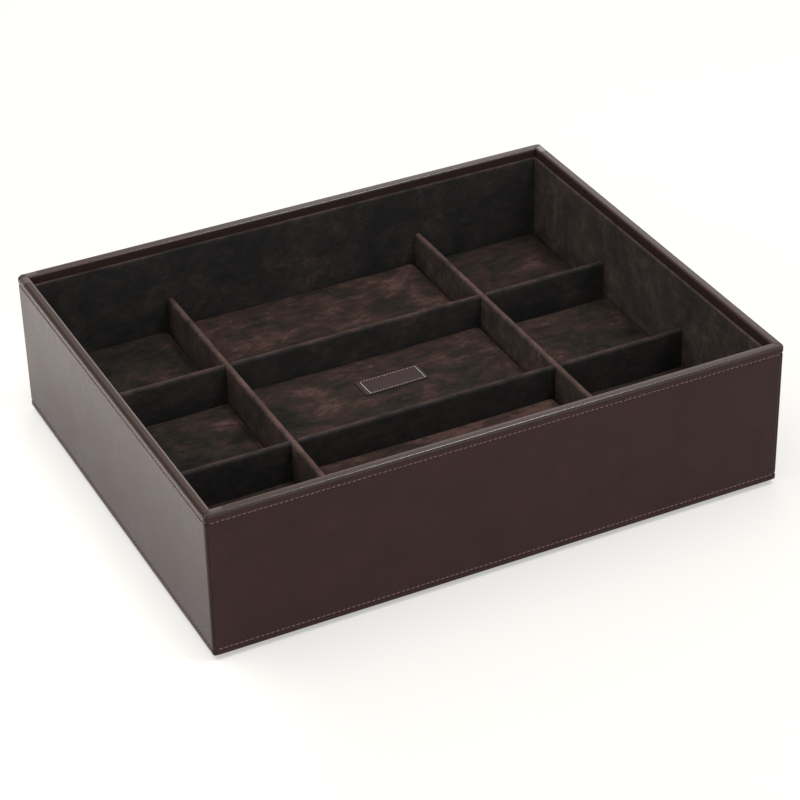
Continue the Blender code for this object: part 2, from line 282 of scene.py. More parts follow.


# Short-pile cotton velvet: nearly black where the nap lies away, warm brown where a hand has
# brushed it towards the eye, and a painted highlight wherever it turns over an edge that faces up
velvet = {
    "finish": {"Specular IOR Level": 0.03, "Sheen Weight": 0.12, "Sheen Roughness": 0.40,
               "Sheen Tint": "#b08074"},
    # The pads' own warmer tone; then one velvet in a darker copy for the faces that turn front and
    # rear, painted shade, and a lighter copy for the faces that turn sideways, painted light
    "padStops": ((0.36, "#1f1e1a"), (0.46, "#2a2723"), (0.55, "#3b2e2b"), (0.66, "#5a443f")),
    "frontFacingShadeStops": ((0.36, "#282828"), (0.48, "#31302f"), (0.57, "#3d3736"), (0.68, "#534846")),
    "sideFacingLightStops": ((0.36, "#2f2d2b"), (0.47, "#3a3633"), (0.56, "#49403c"), (0.66, "#5f514d")),
    # Layers of the nap: size, weight, detail and twist
    "patch": (34 * mm, 0.40, 2, 1.2),     # areas brushed one way
    "blot": (9 * mm, 0.27, 3, 1.4),       # prints of fingers
    "stroke": (4 * mm, 0.19, 4, 1.1),     # marks left by the roll
    "pile": (0.9 * mm, 0.14, 1, 0),       # the pile, 0.3 mm, drawn coarser so that it shows
    "ragged": (9 * mm, 14 * mm),  # size of the noise at a brushed mark's edge, and its reach
    "markEdge": (1.2, 0.2),       # where a brushed mark starts and is full, as shares of its size
    # Along a pad's right edge a painted highlight over the end of the foam and painted shade on the
    # slope beyond it: where that starts, peaks and ends, inwards from the edge, and how much it
    # raises and lowers
    "shoulderHighlightAndShade": (4.0 * mm, 3.1 * mm, 2.4 * mm, 0.10, 0.12),
    "paintedFoldHighlightColour": "#755049",      # painted highlight where the velvet folds over an edge that faces up
    "foldFacing": 0.72,           # how far up a face looks where that starts
    "foldNap": (0.40, 0.56, 0.15),  # and the nap over which it grows, from that share
    "sheenNap": (0.35, 0.65),     # the nap over which the roughness falls
    "roughness": (0.95, 0.78),
    "bump": 0.10 * mm,
}


def makeVelvet(name, stops, stretch, seed, folded=0, shade=0, turn=0, brushed=(), rightEdge=None):
    # stretch lengthens the strokes along each axis and turn slants them; folded paints a
    # highlight, by that share, on the edges that the velvet is folded over, which face up; shade
    # darkens the whole velvet, and lightens it where below 0; brushed lists marks in mm: middle,
    # half sizes, turn in degrees and how much they raise it; rightEdge is where a pad ends on the
    # right, with a painted highlight and shade along it
    material, tree, shader, coordinates = startMaterial(name, velvet["finish"])
    place = coordinates["Object"]
    patches, strokes = (
        addNode(tree, "ShaderNodeMapping", settings, {"Vector": place}).outputs["Vector"]
        for settings in (
            {"Location": (seed * 0.37, seed * 0.91, seed * 0.53)},
            {"Location": (seed * 1.3, seed * 0.7, 0), "Rotation": (0, 0, turn),
             "Scale": tuple(1 / s for s in stretch)}))
    nap = -shade
    for layer in ("patch", "blot", "stroke", "pile"):
        size, weight, detail, twist = velvet[layer]
        marks = addNoise(tree, patches if layer == "patch" else strokes, size, detail, 0.55, twist)
        nap = calculate(tree, "MULTIPLY_ADD", marks["Fac"], weight, nap)
    if brushed:
        size, reach = velvet["ragged"]
        wandering = addNode(tree, "ShaderNodeVectorMath", {
            "operation": "MULTIPLY_ADD", 1: (reach, reach, 0)},
            {0: addNoise(tree, place, size, 3, 0.6)["Color"], 2: place}).outputs["Vector"]
    for x, y, halfX, halfY, slant, rise in brushed:
        spot = addNode(tree, "ShaderNodeMapping", {
            "vector_type": "TEXTURE", "Location": (x * mm + reach / 2, y * mm + reach / 2, 0),
            "Rotation": (0, 0, math.radians(slant)), "Scale": (halfX * mm, halfY * mm, 1)},
            {"Vector": wandering})
        away = addNode(tree, "ShaderNodeVectorMath", {"operation": "LENGTH"},
                       {0: spot.outputs["Vector"]}).outputs["Value"]
        nap = calculate(tree, "ADD", nap,
                        remap(tree, away, *velvet["markEdge"], 0, rise, "SMOOTHSTEP"))
    # Painted highlight along the pad's right shoulder, then painted shade on the slope beyond
    if rightEdge is not None:
        outer, peak, inner, rise, fall = velvet["shoulderHighlightAndShade"]
        across = addNode(tree, "ShaderNodeSeparateXYZ", (), {"Vector": place}).outputs["X"]
        for start, end, change in ((outer, peak, rise), (peak, inner, -rise - fall)):
            nap = calculate(tree, "ADD", nap, remap(
                tree, across, rightEdge - start, rightEdge - end, 0, change, "SMOOTHSTEP"))
    colour = addRamp(tree, nap, velvet[stops])
    # Painted highlight on the edges the velvet folds over, which face up
    if folded:
        up = addNode(tree, "ShaderNodeSeparateXYZ", (), {"Vector": coordinates["Normal"]})
        start, end, least = velvet["foldNap"]
        share = calculate(
            tree, "MULTIPLY", remap(tree, up.outputs["Z"], velvet["foldFacing"], 1, 0, folded),
            remap(tree, nap, start, end, least))
        colour = mixColours(tree, share, colour, velvet["paintedFoldHighlightColour"])
    finishShader(tree, shader, colour,
                 remap(tree, nap, *velvet["sheenNap"], *velvet["roughness"]),
                 nap, velvet["bump"])
    return material


# Thread, fibreboard, grey card, black paper and felt. Each has a fibre or pore pattern at two
# sizes: colour from the coarse one, relief and roughness from the fine one
plainFinishes = {
    # spun polyester sewing thread, waxed: dull mauve-brown, a little fuzzy
    "spunPolyesterThread": {
        "finish": {"Specular IOR Level": 0.1}, "colours": ("#6a5452", "#80696a"),
        "coarse": 1.5 * mm, "fine": 0.3 * mm, "roughness": (0.60, 0.75), "bump": 0.04 * mm},
    # off-white rayon thread of a label's border: slightly shiny
    "rayonThread": {
        "finish": {"Specular IOR Level": 0.5}, "colours": ("#cdc6be", "#e6e0d8"),
        "coarse": 1.2 * mm, "fine": 0.3 * mm, "roughness": (0.45, 0.60), "bump": 0.03 * mm},
    # medium-density fibreboard, sanded: tan with fine darker fibres
    "sandedFibreboard": {
        "finish": {"Specular IOR Level": 0.25}, "colours": ("#8c6b4c", "#a5835f"),
        "coarse": 6 * mm, "fine": 0.8 * mm, "roughness": (0.75, 0.88), "bump": 0.05 * mm,
        "stretch": (1, 1, 3)},
    # recycled grey board: cool grey with darker flecks
    "greyBoard": {
        "finish": {"Specular IOR Level": 0.2}, "colours": ("#77726a", "#918c83"),
        "coarse": 3 * mm, "fine": 0.7 * mm, "roughness": (0.80, 0.92), "bump": 0.03 * mm},
    # black bookbinding paper over the foot board: near black, faint sheen
    "blackFootPaper": {
        "finish": {"Specular IOR Level": 0.35}, "colours": ("#120e0e", "#1c1615"),
        "coarse": 5 * mm, "fine": 0.9 * mm, "roughness": (0.55, 0.70), "bump": 0.03 * mm},
    # needle-punched felt: matt charcoal with a tangled surface
    "needleFelt": {
        "finish": {"Specular IOR Level": 0.1, "Sheen Weight": 0.1, "Sheen Roughness": 0.6},
        "colours": ("#17171a", "#26262a"),
        "coarse": 4 * mm, "fine": 0.9 * mm, "roughness": (0.88, 0.98), "bump": 0.15 * mm},
}


def makePlain(name):
    spec = plainFinishes[name]
    material, tree, shader, coordinates = startMaterial(name, spec["finish"])
    place = addNode(tree, "ShaderNodeMapping", {"Scale": spec.get("stretch", (1, 1, 1))},
                    {"Vector": coordinates["Object"]}).outputs["Vector"]
    coarse = addNoise(tree, place, spec["coarse"], 4, 0.65)["Fac"]
    fine = addNoise(tree, place, spec["fine"], 2, 0.6)["Fac"]
    dark, light = spec["colours"]
    finishShader(tree, shader, addRamp(tree, coarse, ((0.32, dark), (0.68, light))),
                 remap(tree, fine, 0, 1, *spec["roughness"]), fine, spec["bump"])
    return material


# Woven polyester label, close satin weave: dark brown with faint crossing ribs
wovenLabel = {
    "finish": {"Specular IOR Level": 0.15},
    "stops": ((0.1, "#382c2b"), (0.8, "#4a3b39")),
    "rib": 0.9 * mm,          # the yarns are 0.25 mm apart, drawn coarser so that they show
    "roughness": (0.70, 0.55),
    "bump": 0.05 * mm,
}


def makeWovenLabel():
    material, tree, shader, coordinates = startMaterial("wovenSatinLabel", wovenLabel["finish"])
    # A wave's scale counts 20 radians to a metre, so one rib of a given size needs this much
    ribScale = 2 * math.pi / (20 * wovenLabel["rib"])
    ribs = [addNode(tree, "ShaderNodeTexWave", {
        "bands_direction": axis, "Scale": ribScale, "Distortion": 0.6, "Detail": 1,
        "Detail Scale": 3}, {"Vector": coordinates["Object"]}).outputs["Fac"] for axis in "XY"]
    weave = calculate(tree, "MULTIPLY", *ribs)
    finishShader(tree, shader, addRamp(tree, weave, wovenLabel["stops"]),
                 remap(tree, weave, 0, 1, *wovenLabel["roughness"]), weave, wovenLabel["bump"], 0.6)
    return material


leather = makeLeatherette()
velvetSideWalls = makeVelvet("velvetOnSideWalls", "sideFacingLightStops", (1, 1.3, 1.6), 1, 0.20, -0.02)
velvetEndWalls = makeVelvet("velvetOnFrontAndRear", "frontFacingShadeStops", (1.6, 1, 1), 2, 0.20, 0.01)
# Painted light: the long dividers' velvet is drawn lighter than the side walls' to make up for the
# shade that falls between the pads
velvetLong = makeVelvet("velvetOnLongDividers", "sideFacingLightStops", (1, 1.3, 1.6), 3, 0.34, -0.06)
velvetCross = makeVelvet("velvetOnCrossDividers", "frontFacingShadeStops", (1.8, 1, 1.2), 4, 0.24)
velvetFloor = makeVelvet("velvetOnFloor", "padStops", (2, 1, 1), 5)
plain = {name: makePlain(name) for name in plainFinishes}
labelCloth = makeWovenLabel()
print("materials made")


# Small tools for meshes

def addPiece(name, points, faces, material, body, sharpAngle=40):
    # One named piece of the object, smooth but for its sharp edges, riding on its body
    mesh = bpy.data.meshes.new(name)
    mesh.from_pydata([tuple(p) for p in points], [], faces)
    shape = bmesh.new()
    shape.from_mesh(mesh)
    bmesh.ops.recalc_face_normals(shape, faces=shape.faces)
    shape.to_mesh(mesh)
    shape.free()
    mesh.materials.append(material)
    for polygon in mesh.polygons:
        polygon.use_smooth = True
    mesh.set_sharp_from_angle(angle=math.radians(sharpAngle))
    piece = bpy.data.objects.new(name, mesh)
    scene.collection.objects.link(piece)
    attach(piece, body)
    return piece


def sheetFaces(rows, columns):
    # Faces of one closed sheet whose front and back are grids of rows by columns points
    count = rows * columns
    faces = []
    for i in range(rows - 1):
        for j in range(columns - 1):
            a, b = i * columns + j, (i + 1) * columns + j
            faces.append((a, a + 1, b + 1, b))
            faces.append((count + a, count + b, count + b + 1, count + a + 1))
    for i in range(rows - 1):
        for j in (0, columns - 1):
            a, b = i * columns + j, (i + 1) * columns + j
            faces.append((a, b, count + b, count + a))
    for i in (0, rows - 1):
        for j in range(columns - 1):
            a = i * columns + j
            faces.append((a, a + 1, count + a + 1, count + a))
    return faces


def addSheet(name, front, back, material, body, sharpAngle=40):
    rows, columns = front.shape[:2]
    points = np.concatenate([front.reshape(-1, 3), back.reshape(-1, 3)])
    return addPiece(name, points, sheetFaces(rows, columns), material, body, sharpAngle)


def roundedPath(corners, steps):
    # Open path through (depth, height, radius) corners, each rounded with short steps
    path = [Vector(corners[0][:2])]
    for before, corner, after in zip(corners, corners[1:], corners[2:]):
        point = Vector(corner[:2])
        if corner[2] == 0:
            path.append(point)
            continue
        towards = (Vector(before[:2]) - point).normalized()
        onwards = (Vector(after[:2]) - point).normalized()
        half = towards.angle(onwards) / 2
        centre = point + (towards + onwards).normalized() * corner[2] / math.sin(half)
        start = point + towards * corner[2] / math.tan(half) - centre
        end = point + onwards * corner[2] / math.tan(half) - centre
        sweep = start.angle_signed(end)
        for step in range(steps + 1):
            path.append(centre + Matrix.Rotation(-sweep * step / steps, 2) @ start)
    path.append(Vector(corners[-1][:2]))
    return path


def refined(path, spacing):
    # The same path with points no further apart than spacing(middle of the run) says
    fine = [path[0]]
    for start, end in zip(path, path[1:]):
        parts = max(1, math.ceil((end - start).length / spacing((start + end) / 2) - 1e-6))
        fine.extend(start.lerp(end, part / parts) for part in range(1, parts + 1))
    return np.array([tuple(p) for p in fine])


def outwards(path):
    # Normals of a path that runs up the inside, over the top and down the outside
    run = np.gradient(path, axis=0)
    run /= np.linalg.norm(run, axis=1)[:, None]
    return np.stack([run[:, 1], -run[:, 0]], axis=1)


def ripple(a, b, size, seed):
    # Smooth noise from -1 to 1 with features of about that size
    return noise.noise(Vector((a / size, b / size, seed * 7.31)))


def toWall(turn, reach, x, depth, z):
    # A point given along a wall, inwards from its outer face and up, in the scene's axes
    turn = math.radians(turn)
    y = depth - reach
    return (x * math.cos(turn) - y * math.sin(turn), x * math.sin(turn) + y * math.cos(turn), z)


# Leatherette wraps: hem under the wall, outer face, over the rim and down behind the liner
wrap = {
    "sheet": 0.7 * mm,
    "cornerRound": 2.0 * mm,
    "rimOuterRound": {"front": 1.2 * mm, "rear": 1.2 * mm, "left": 2.2 * mm, "right": 1.6 * mm},
    "rimInnerRound": 1.3 * mm,
    "hemRound": 1.0 * mm,
    "tuck": 6.0 * mm,         # how far it runs on behind the liner
    "topSeam": 5.5 * mm,      # row of stitches below the rim
    "bottomSeam": 4.2 * mm,   # row of stitches above the lower edge
    "groove": 0.40 * mm,      # the thread pulls the sheet in
    "grooveWidth": 0.60 * mm,
    "puff": 0.12 * mm,        # and it stands up between the seam and the edge
    "waver": 0.035 * mm,
    "seamDip": 0.22 * mm,     # at the ends, where one wrap meets the next
    "dipWidth": 0.35 * mm,
    "endGap": 0.05 * mm,
    "seamZone": 2.4 * mm,     # how far past a seam the points are close together
    "closeSpacing": 0.4 * mm,
    "spacing": 2.5 * mm,
    "puffWidth": 1.3 * mm,
    "waverSize": 45 * mm,
    # columns near a wrap's ends, in mm from the end
    "endColumns": (0, 0.1, 0.2, 0.32, 0.46, 0.65, 0.9, 1.2, 1.5, 1.8, 2.1, 2.4, 2.7, 3.0, 3.4, 4,
                   5, 7),
    "columnSpacing": 3 * mm,
}


def alongWrap(depth, share, halfRun, wraps):
    # Plan of a wrap: straight, then round the upright corner or up to the mitre
    radius = max(wrap["cornerRound"] - depth, 0) if wraps else 0
    straight = halfRun - max(wrap["cornerRound"], depth) - wrap["endGap"]
    reach = abs(share) * (straight + radius * math.pi / 2)
    if reach <= straight or radius == 0:
        return math.copysign(reach, share), depth
    angle = (reach - straight) / radius
    return (math.copysign(straight + radius * math.sin(angle), share),
            wrap["cornerRound"] - radius * math.cos(angle))


def wrapShares(halfRun):
    # Columns of a wrap, close together near its ends
    ends = [1 - d * mm / halfRun for d in wrap["endColumns"]]
    middle = np.linspace(-ends[-1], ends[-1], 2 + int(2 * halfRun / wrap["columnSpacing"]))
    return np.concatenate([[-e for e in ends], middle[1:-1], ends[::-1]])


def makeWrap(side, turn, halfRun, reach, wraps, seed):
    topSeam, bottomSeam = rimTop - wrap["topSeam"], wallBottom + wrap["bottomSeam"]
    upperZone, lowerZone = topSeam - wrap["seamZone"], bottomSeam + wrap["seamZone"]
    path = roundedPath([
        (wallThickness, linerTop - wrap["tuck"], 0),
        (wallThickness, rimTop, wrap["rimInnerRound"]),
        (0, rimTop, wrap["rimOuterRound"][side]),
        (0, upperZone, 0),
        (0, lowerZone, 0),
        (0, wallBottom, wrap["hemRound"]),
        (boardInner, wallBottom, 0),
    ], 6)
    path = refined(path, lambda middle: wrap["closeSpacing"] if middle.x < 0.01 * mm and (
        middle.y > upperZone or middle.y < lowerZone) else wrap["spacing"])
    normals = outwards(path)
    shares = wrapShares(halfRun)
    front = np.zeros((len(path), len(shares), 3))
    back = np.zeros_like(front)
    for i, ((depth, z), (normalDepth, normalZ)) in enumerate(zip(path, normals)):
        faceShare = max(0, -normalDepth)      # 1 on the outer face, 0 on the rim
        shift = 0
        for seam, edge in ((topSeam, rimTop), (bottomSeam, wallBottom)):
            shift -= wrap["groove"] * math.exp(-((z - seam) / wrap["grooveWidth"]) ** 2)
            middle = (seam + edge) / 2
            shift += wrap["puff"] * math.exp(-((z - middle) / wrap["puffWidth"]) ** 2)
        for j, share in enumerate(shares):
            lift = shift * faceShare
            lift += wrap["waver"] * ripple(share * halfRun, z + depth, wrap["waverSize"], seed)
            end = (1 - abs(share)) * halfRun
            dip = wrap["seamDip"] * (0.5 + 0.5 * faceShare)
            lift -= dip * math.exp(-(end / wrap["dipWidth"]) ** 2)
            frontDepth, frontZ = depth + normalDepth * lift, z + normalZ * lift
            x, plan = alongWrap(frontDepth, share, halfRun, wraps)
            front[i, j] = toWall(turn, reach, x, plan, frontZ)
            x, plan = alongWrap(depth - normalDepth * wrap["sheet"], share, halfRun, wraps)
            back[i, j] = toWall(turn, reach, x, plan, z - normalZ * wrap["sheet"])
    piece = addSheet(side + "_wrap", front, back, leather, "tray")
    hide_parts(side + "_wall_cover")


for number, (side, turn, halfRun, reach, wraps) in enumerate(walls):
    makeWrap(side, turn, halfRun, reach, wraps, number)
print("leatherette wraps made")


# Rows of stitches along the rim and the lower edge of every wall
stitch = {
    "pitch": 3.05 * mm,
    "length": 2.55 * mm,
    "radius": 0.40 * mm,
    "slant": 9,               # degrees, from the twist of the thread
    "crest": 0.14 * mm,       # middle of the thread's axis above the leather
    "sink": 0.55 * mm,        # how far its ends dive below that
    "margin": 2.9 * mm,       # from the corner to the end of a row
    "rings": 9,
    "sides": 8,
    "ply": 0.14,              # share by which two twisted plies bulge
    "seat": 0.6,              # how deep in the groove the thread lies, as a share of it
    # How far hand and machine stray: place, slant in degrees, and share of the length
    "stray": (0.05 * mm, 2, 0.03),
}


def stitchShape(spec, length, slant, twist):
    # One stitch: a two-ply thread that rises out of one hole and dives into the next
    taper, plyTurn = 0.55, 2.4
    points, faces = [], []
    rings, sides = spec["rings"], spec["sides"]
    for ring in range(rings):
        along = 2 * ring / (rings - 1) - 1
        swell = spec["radius"] * (1 - taper * along ** 6)
        height = spec["crest"] - spec["sink"] * along ** 4
        for step in range(sides):
            angle = 2 * math.pi * step / sides
            radius = swell * (1 + spec["ply"] * math.cos(2 * (angle - twist - plyTurn * along)))
            across = radius * math.cos(angle)
            points.append((along * length / 2 - across * math.sin(slant),
                           height + radius * math.sin(angle),
                           along * length / 2 * math.sin(slant) + across * math.cos(slant)))
    for ring in range(rings - 1):
        for step in range(sides):
            a, b = ring * sides + step, ring * sides + (step + 1) % sides
            faces.append((a, b, b + sides, a + sides))
    faces.append(tuple(range(sides)))
    faces.append(tuple(range((rings - 1) * sides, rings * sides)))
    return points, faces


def makeStitches(name, turn, halfRun, reach, z, seed):
    chance = np.random.default_rng(seed)
    run = 2 * (halfRun - stitch["margin"])
    count = round(run / stitch["pitch"])
    shift, tilt, stretch = stitch["stray"]
    seat = wrap["groove"] * stitch["seat"]
    points, faces = [], []
    for k in range(count):
        x = -run / 2 + run * (k + 0.5) / count + chance.normal(0, shift)
        drift = chance.normal(0, shift)
        slant = math.radians(stitch["slant"] + chance.normal(0, tilt))
        length = stitch["length"] * (1 + chance.normal(0, stretch))
        shape, shapeFaces = stitchShape(stitch, length, slant, chance.uniform(0, math.pi))
        faces.extend(tuple(len(points) + f for f in face) for face in shapeFaces)
        points.extend(toWall(turn, reach, x + a, seat - b, z + drift + c)
                      for a, b, c in shape)
    addPiece(name, points, faces, plain["spunPolyesterThread"], "tray", 60)


for number, (side, turn, halfRun, reach, wraps) in enumerate(walls):
    makeStitches(side + "_rim_stitches", turn, halfRun, reach,
                 rimTop - wrap["topSeam"], 40 + number)
    makeStitches(side + "_hem_stitches", turn, halfRun, reach,
                 wallBottom + wrap["bottomSeam"], 50 + number)
print("stitches made")


# Velvet liners of the walls, folded over the top of their cards
liner = {
    "sheet": 0.7 * mm,
    "topRound": 1.05 * mm,
    "backRound": 0.5 * mm,
    "press": 0.22 * mm,       # how unevenly the velvet is pressed on
    "wander": 0.28 * mm,      # of the folded edge
    "pressSize": 16 * mm,
    "wanderSize": 22 * mm,
    "wanderZone": 6 * mm,     # how far below the edge it wanders
    "bothFaces": 0,           # 1 where the press differs on the two faces of a divider
    "turnedDown": 1.2 * mm,   # velvet behind the card
    "spacing": 3 * mm,
    "butt": 0.3 * mm,
}


def addVelvet(name, spec, path, half, top, seed, place, material, body):
    # Velvet pressed unevenly on its card along a path, with a folded edge that wanders; place
    # gives a point from its run, its distance across the path's plane and its height
    path = refined(path, lambda middle: spec["spacing"])
    columns = np.linspace(-half, half, 2 + int(2 * half / spec["spacing"]))
    front = np.zeros((len(path), len(columns), 3))
    back = np.zeros_like(front)
    for i, ((across, z), (normalAcross, normalZ)) in enumerate(zip(path, outwards(path))):
        for j, run in enumerate(columns):
            uneven = ripple(run, z + across * spec["bothFaces"], spec["pressSize"], seed)
            press = -spec["press"] * (0.5 + 0.5 * uneven)
            low = spec["wander"] * (0.5 + 0.5 * ripple(run, 0, spec["wanderSize"], seed + 10))
            low *= max(0, (z - top) / spec["wanderZone"] + 1)
            front[i, j] = place(run, across + normalAcross * press, z + normalZ * press - low)
            back[i, j] = place(run, across - normalAcross * spec["sheet"],
                               z - normalZ * spec["sheet"])
    return addSheet(name, front, back, material, body)


def makeLiner(side, turn, halfRun, reach, wraps, seed):
    half = halfRun - (linerFace + liner["butt"] if wraps else linerBack)
    path = roundedPath([
        (linerFace, standHeight, 0),
        (linerFace, linerTop, liner["topRound"]),
        (linerBack, linerTop, liner["backRound"]),
        (linerBack, linerTop - liner["turnedDown"], 0),
    ], 5)
    piece = addVelvet(side + "_liner", liner, path, half, linerTop, 20 + seed,
                      lambda run, depth, z: toWall(turn, reach, run, depth, z),
                      velvetSideWalls if wraps else velvetEndWalls, "tray")
    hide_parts(side + "_liner_velvet")


for number, (side, turn, halfRun, reach, wraps) in enumerate(walls):
    makeLiner(side, turn, halfRun, reach, wraps, number)
print("velvet liners made")


# Velvet sleeves of the dividers, slotted where they cross
sleeve = {
    "sheet": 0.7 * mm,
    "topRound": 1.95 * mm,
    "press": 0.16 * mm,
    "wander": 0.32 * mm,
    "pressSize": 12 * mm,
    "wanderSize": 13 * mm,
    "wanderZone": 5 * mm,
    "bothFaces": 1,
    "spacing": 2.5 * mm,
    "slotClearance": 0.3 * mm,
    "lapGap": 0.3 * mm,
    "slotSpare": 2 * mm,      # how far a slot's cutter stands out of the faces
    "slotOverrun": 5 * mm,    # and past the open end
}


def cutSlots(piece, slots):
    # Cut boxes out of a piece and keep the result as its mesh
    cutters = []
    for low, high in slots:
        shape = bmesh.new()
        bmesh.ops.create_cube(shape, size=1)
        middle = (Vector(low) + Vector(high)) / 2
        for point in shape.verts:
            point.co = middle + point.co * (Vector(high) - Vector(low))
        mesh = bpy.data.meshes.new("slotCutter")
        shape.to_mesh(mesh)
        shape.free()
        cutter = bpy.data.objects.new("slotCutter", mesh)
        scene.collection.objects.link(cutter)
        cutters.append(cutter)
        boolean = piece.modifiers.new("slot", "BOOLEAN")
        boolean.operation, boolean.solver, boolean.object = "DIFFERENCE", "EXACT", cutter
    bpy.context.view_layer.update()
    whole = piece.data
    piece.data = bpy.data.meshes.new_from_object(
        piece.evaluated_get(bpy.context.evaluated_depsgraph_get()))
    piece.data.name = piece.name
    piece.modifiers.clear()
    bpy.data.meshes.remove(whole)
    for cutter in cutters:
        bpy.data.objects.remove(cutter)


def makeSleeve(name, body, along, centre, half, crossings, slotLow, slotHigh, material, seed):
    # along is the axis that it runs along: 0 for a cross divider, 1 for a long one
    def place(run, across, z):
        return (run, centre + across, z) if along == 0 else (centre + across, run, z)

    path = roundedPath([
        (dividerHalf, standHeight, 0),
        (dividerHalf, dividerTop, sleeve["topRound"]),
        (-dividerHalf, dividerTop, sleeve["topRound"]),
        (-dividerHalf, standHeight, 0),
    ], 7)
    piece = addVelvet(name + "_velvet", sleeve, path, half, dividerTop, seed, place, material,
                      body)
    reach = dividerHalf + sleeve["slotSpare"]
    gap = dividerHalf + sleeve["slotClearance"]
    cutSlots(piece, [(place(crossing - gap, -reach, slotLow),
                      place(crossing + gap, reach, slotHigh)) for crossing in crossings])
    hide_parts(name + "_sleeve")


lapHeight = (standHeight + dividerTop) / 2
for number, (name, body, along, centre) in enumerate((
        ("front_cross", "cross_dividers", 0, -crossDividerY),
        ("rear_cross", "cross_dividers", 0, crossDividerY),
        ("left_divider", "left_long_divider", 1, -longDividerX),
        ("right_divider", "right_long_divider", 1, longDividerX))):
    if along == 0:
        makeSleeve(name, body, along, centre, crossHigh.x, (-longDividerX, longDividerX),
                   lapHeight - sleeve["lapGap"], dividerTop + sleeve["slotOverrun"],
                   velvetCross, 60 + number)
    else:
        makeSleeve(name, body, along, centre, sleeveHigh.y, (-crossDividerY, crossDividerY),
                   standHeight - sleeve["slotOverrun"], lapHeight, velvetLong, 60 + number)
print("divider sleeves made")


# Pads: velvet over foam and a stiff card, dropped into the cells
pad = {
    "shrink": 0.6 * mm,       # the form starts smaller than the pad it swells to
    "sink": 0.3 * mm,         # and that much lower on top
    "crown": 0.3 * mm,
    "corner": 4.2 * mm,
    "shoulder": 1.8 * mm,
    "foot": 1.2 * mm,
    "hem": 8 * mm,            # velvet turned under the card
    "recess": 1.15 * mm,      # from the hem up to the bare card
    "drawIn": 0.8 * mm,
    "held": 2 * mm,           # height up to which the foot is held while it swells
    "footSpread": 0.5 * mm,   # the foot then follows the swollen sides, over the card's edge
    "spacing": 3.2 * mm,
    "columns": (0, 1.2 * mm, 2.8 * mm, 5 * mm, 7.7 * mm, 8.3 * mm),  # inwards from an edge
    "levels": 8,
    "crownPower": 2.6,
    "cloth": {"quality": 6, "mass": 0.15, "tension_stiffness": 18, "compression_stiffness": 18,
              "shear_stiffness": 6, "bending_stiffness": 0.6, "use_pressure": True,
              "uniform_pressure_force": 4},
    "frames": 20,
    "sideCap": 0.5 * mm,
    "topCap": 0.7 * mm,
    "sag": 0.1,               # how much of its sinking at the shoulder the foam lets happen
    "dimple": 0.22 * mm,      # uneven foam under the velvet, in two sizes
    "dimpleSizes": (17 * mm, 8 * mm),
    "dimpleSink": 0.8,
    "margin": 0.05 * mm,      # inside the CAD's form
    "napStretch": (2.3, 1, 1),
    "napTurn": 0.35,
    "fill": 0.75,
    # How much darker each pad's velvet is drawn, lighter where below 0, and where it is
    # brushed: each mark's middle and half sizes in mm, turn in degrees and how much it lightens
    "shades": {"rear_left": 0.055, "rear_right": 0.02, "middle_left": 0.04,
               "middle_right": 0, "rear_centre": -0.02, "front_left": 0.05,
               "front_centre": -0.08},
    "brushed": {
        "middle_centre": ((-47, 13, 17, 26, -15, 0.10), (-32, -3, 10, 16, -20, 0.06),
                          (20, 30, 16, 7, 0, 0.05), (50, 12, 9, 7, 0, 0.05),
                          (72, 14, 8, 10, 0, 0.05), (-68, 5, 10, 20, 0, -0.05),
                          (0, -5, 20, 25, 0, -0.04)),
        "rear_centre": ((52, 110, 18, 10, 20, 0.07), (6, 119, 16, 7, 0, 0.07),
                        (-29, 114, 14, 5, 10, 0.05), (68, 105, 3, 12, -20, 0.05),
                        (23, 103, 10, 8, 0, -0.06), (-48, 103, 25, 15, 0, -0.04)),
        "middle_left": ((-102, 14, 14, 9, 0, 0.08), (-123, 19, 7, 4, 0, 0.05),
                        (-137, 4, 8, 4, -40, 0.05), (-155, 10, 15, 25, 0, -0.05)),
        "middle_right": ((159, 2, 8, 9, 0, 0.07), (139, 9, 10, 6, 0, 0.05),
                         (123, 26, 12, 4, 10, 0.04), (161, -9, 8, 6, 0, -0.06),
                         (150, 30, 20, 8, 0, -0.04)),
        "rear_left": ((-133, 103, 16, 8, 0, 0.06), (-104, 111, 12, 3, 10, 0.06),
                      (-104, 85, 8, 4, 0, 0.05)),
        "rear_right": ((140, 100, 22, 20, 0, 0.03), (165, 122, 8, 10, 0, -0.03)),
    },
}


def gridLines(half, marks):
    # Lattice lines from -half to half: given distances from the edge, then even spacing
    edge = [half - m for m in marks]
    count = max(2, round(2 * edge[-1] / pad["spacing"]))
    middle = np.linspace(-edge[-1], edge[-1], count + 1)[1:-1]
    return np.concatenate([[-e for e in edge], middle, edge[::-1]])


def squareToRound(a, b):
    # Maps the corner of a square onto the quarter circle inside it
    longest, length = max(a, b), math.hypot(a, b)
    return (a, b) if length == 0 else (a * longest / length, b * longest / length)


def padForm(halfX, halfY, height):
    # A block of even quads, rounded in plan, over the shoulder and at the foot
    marks = pad["columns"]
    xs, ys = gridLines(halfX, marks), gridLines(halfY, marks)
    zs = np.concatenate([[0, marks[1]], np.linspace(4 * mm, height - marks[2], pad["levels"]),
                         [height - marks[1], height]])
    sizes = (len(xs), len(ys), len(zs))
    index, points = {}, []
    for i in range(sizes[0]):
        for j in range(sizes[1]):
            for k in range(sizes[2]):
                if i in (0, sizes[0] - 1) or j in (0, sizes[1] - 1) or k in (0, sizes[2] - 1):
                    index[i, j, k] = len(points)
                    points.append(roundPoint(xs[i], ys[j], zs[k], halfX, halfY, height))
    faces = []
    for axis in range(3):
        u, v = [a for a in range(3) if a != axis]
        for level in (0, sizes[axis] - 1):
            for a in range(sizes[u] - 1):
                for b in range(sizes[v] - 1):
                    face = []
                    for stepU, stepV in ((0, 0), (1, 0), (1, 1), (0, 1)):
                        key = [0, 0, 0]
                        key[axis], key[u], key[v] = level, a + stepU, b + stepV
                        face.append(index[tuple(key)])
                    faces.append(tuple(face))
    return points, faces


